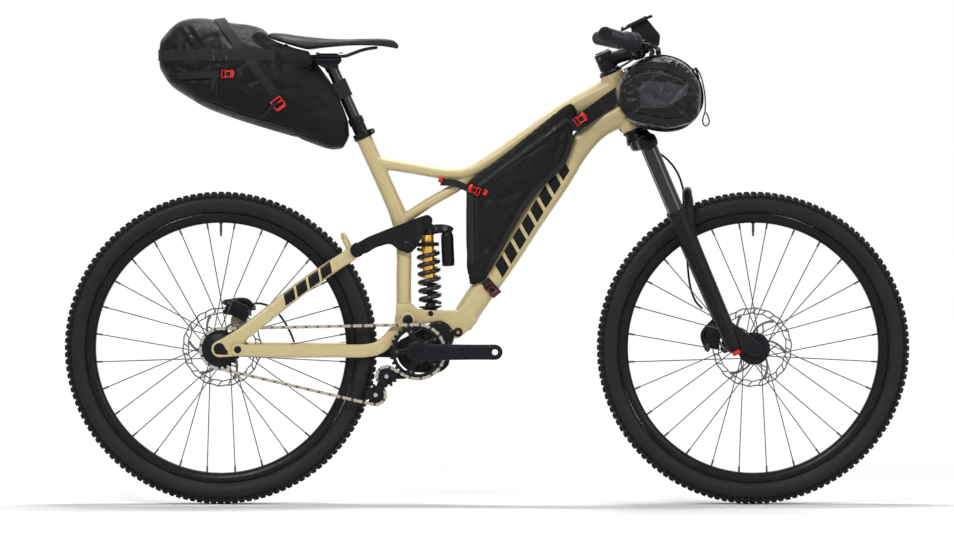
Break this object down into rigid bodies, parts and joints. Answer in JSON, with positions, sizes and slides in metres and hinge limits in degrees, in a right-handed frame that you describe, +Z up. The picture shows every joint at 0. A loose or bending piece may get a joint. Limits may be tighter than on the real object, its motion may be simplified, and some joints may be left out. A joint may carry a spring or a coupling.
{
  "type": "full suspension mountain bike",
  "caption": "Full suspension mountain bike with a gearbox drive, chain, coil shock, suspension fork, dropper post, and seat, frame and handlebar bags.",
  "frame": {"origin": "on the ground under the middle of the bike, half way between the two axles", "axes": "+X forwards, +Y to the rider's left, +Z up; the chain is on the -Y side"},
  "size_m": [1.892, 0.777, 1.0945],
  "materials": {
    "sand": "satin sand paint",
    "black": "satin black anodising and paint",
    "plastic": "matt black",
    "tread": "moulded tread",
    "grip": "matt ribbed rubber",
    "steel": "brushed",
    "spoke": "dark drawn wire and alloy",
    "chain": "oiled",
    "gold": "gold anodising",
    "stanchion": "polished dark coating",
    "fabric": "coated bag cloth",
    "red": "red anodising",
    "saddle": "matt cover"
  },
  "bodies": {
    "frame": {"main_frame": "sand", "headset_upper": "black", "headset_lower": "black", "seat_clamp": "black", "post_tube": "black", "gearbox_housing": "black", "main_pivot_axle": "black", "rocker_axle": "black", "tensioner_arm": "black", "frame_bag": "fabric", "chain": "chain"},
    "chainstay": {"chainstay": "sand"},
    "seatstay": {"seatstay": "sand", "rear_axle": "black", "rear_caliper": "black", "rear_hose": "plastic"},
    "rear_wheel": {"rear_tyre": "tread", "rear_rim": "black", "rear_hub": "spoke", "rear_rotor": "steel"},
    "rear_cog": {"rear_cog": "black"},
    "rocker": {"rocker": "black"},
    "shock_shaft": {"shock_shaft": "black", "coil_spring": "black"},
    "shock_body": {"shock_body": "gold"},
    "crank": {"crank_right": "black", "crank_left": "black", "crank_axle": "steel"},
    "chainring": {"chainring": "black"},
    "tensioner": {"tensioner_cage": "black"},
    "upper_pulley": {"upper_pulley": "plastic"},
    "lower_pulley": {"lower_pulley": "plastic"},
    "steering": {"fork_crown": "black", "stanchion_right": "stanchion", "stanchion_left": "stanchion", "stem": "black", "handlebar": "black", "grip_right": "grip", "grip_left": "grip", "bar_bag": "fabric", "device_mount": "plastic", "brake_perch_right": "plastic", "brake_perch_left": "plastic", "front_hose": "plastic", "draw_cord": "plastic"},
    "brake_lever_right": {"brake_lever_right": "black"},
    "brake_lever_left": {"brake_lever_left": "black"},
    "twist_shifter": {"twist_shifter": "plastic"},
    "fork_lowers": {"fork_lowers": "black", "front_axle": "black", "front_caliper": "black", "rebound_knob": "red"},
    "front_wheel": {"front_tyre": "tread", "front_rim": "black", "front_hub": "spoke", "front_rotor": "steel"},
    "seatpost": {"seatpost": "black", "saddle": "saddle", "saddle_rails": "black", "seat_bag": "fabric"}
  },
  "joints": [
    {"name": "suspension", "type": "hinge", "parent": "frame", "child": "chainstay", "pos_m": [-0.177, 0, 0.41302], "axis": [0, 1, 0], "range_deg": [0, 20], "stiffness_Nm_per_rad": 6000, "springref_deg": -2.86, "deforming": ["chain"]},
    {"name": "horst_pivot", "type": "hinge", "parent": "chainstay", "child": "seatstay", "pos_m": [-0.5555, 0, 0.34802], "axis": [0, 1, 0], "range_deg": [-12.01, 0.5], "deforming": ["rear_hose"]},
    {"name": "rocker_pivot", "type": "hinge", "parent": "frame", "child": "rocker", "pos_m": [-0.177, 0, 0.57802], "axis": [0, 1, 0], "range_deg": [-0.5, 49.6]},
    {"name": "shock_swing", "type": "hinge", "parent": "frame", "child": "shock_shaft", "pos_m": [-0.126, 0, 0.42702], "axis": [0, 1, 0], "range_deg": [-0.5, 10.7]},
    {"name": "shock_stroke", "type": "slide", "parent": "shock_shaft", "child": "shock_body", "axis": [0.0434, 0, -0.9991], "range_m": [-0.0005, 0.04867], "deforming": ["coil_spring"]},
    {"name": "rear_wheel_spin", "type": "hinge", "parent": "seatstay", "child": "rear_wheel", "pos_m": [-0.596, 0, 0.34902], "axis": [0, 1, 0], "continuous": true},
    {"name": "crank_spin", "type": "hinge", "parent": "frame", "child": "crank", "pos_m": [-0.155, 0, 0.34202], "axis": [0, 1, 0], "continuous": true},
    {"name": "chainring_spin", "type": "hinge", "parent": "frame", "child": "chainring", "pos_m": [-0.155, 0, 0.34202], "axis": [0, 1, 0], "continuous": true},
    {"name": "rear_cog_spin", "type": "hinge", "parent": "seatstay", "child": "rear_cog", "pos_m": [-0.596, 0, 0.34902], "axis": [0, 1, 0], "continuous": true},
    {"name": "tensioner_swing", "type": "hinge", "parent": "frame", "child": "tensioner", "pos_m": [-0.2245, 0, 0.28702], "axis": [0, 1, 0], "range_deg": [-12, 22], "stiffness_Nm_per_rad": 1.2},
    {"name": "upper_pulley_spin", "type": "hinge", "parent": "frame", "child": "upper_pulley", "pos_m": [-0.2245, 0, 0.28702], "axis": [0, 1, 0], "continuous": true},
    {"name": "lower_pulley_spin", "type": "hinge", "parent": "tensioner", "child": "lower_pulley", "pos_m": [-0.24884, 0, 0.24565], "axis": [0, 1, 0], "continuous": true},
    {"name": "steering_turn", "type": "hinge", "parent": "frame", "child": "steering", "pos_m": [0.278, 0, 0.96302], "axis": [-0.3907, 0, 0.9205], "range_deg": [-30, 30]},
    {"name": "fork_slide", "type": "slide", "parent": "steering", "child": "fork_lowers", "axis": [-0.3907, 0, 0.9205], "range_m": [0, 0.12], "stiffness_N_per_m": 30000, "springref_m": -0.02, "deforming": ["front_hose"]},
    {"name": "front_wheel_spin", "type": "hinge", "parent": "fork_lowers", "child": "front_wheel", "pos_m": [0.596, 0, 0.34902], "axis": [0, 1, 0], "continuous": true},
    {"name": "brake_pull_right", "type": "hinge", "parent": "steering", "child": "brake_lever_right", "pos_m": [0.35753, -0.191, 1.02045], "axis": [0, 0, -1], "range_deg": [0, 14], "stiffness_Nm_per_rad": 0.6},
    {"name": "brake_pull_left", "type": "hinge", "parent": "steering", "child": "brake_lever_left", "pos_m": [0.35753, 0.191, 1.02045], "axis": [0, 0, 1], "range_deg": [0, 14], "stiffness_Nm_per_rad": 0.6},
    {"name": "gear_twist", "type": "hinge", "parent": "steering", "child": "twist_shifter", "pos_m": [0.32266, -0.214, 1.0306], "axis": [-0.3654, -0.9262, 0.0926], "range_deg": [-60, 60]},
    {"name": "post_slide", "type": "slide", "parent": "frame", "child": "seatpost", "axis": [-0.4131, 0, 0.9107], "range_m": [-0.04, 0]}
  ],
  "couplings": [
    {"joint": "horst_pivot", "follows": "suspension", "ratio": -0.5755},
    {"joint": "rocker_pivot", "follows": "suspension", "ratio": 2.455},
    {"joint": "shock_swing", "follows": "suspension", "ratio": 0.51},
    {"joint": "shock_stroke", "follows": "suspension", "m_per_rad": 0.138},
    {"joint": "chainring_spin", "follows": "crank_spin", "ratio": 1},
    {"joint": "rear_cog_spin", "follows": "crank_spin", "ratio": 1.3636},
    {"joint": "upper_pulley_spin", "follows": "crank_spin", "ratio": -2.7273},
    {"joint": "lower_pulley_spin", "follows": "crank_spin", "ratio": 2.7273}
  ]
}
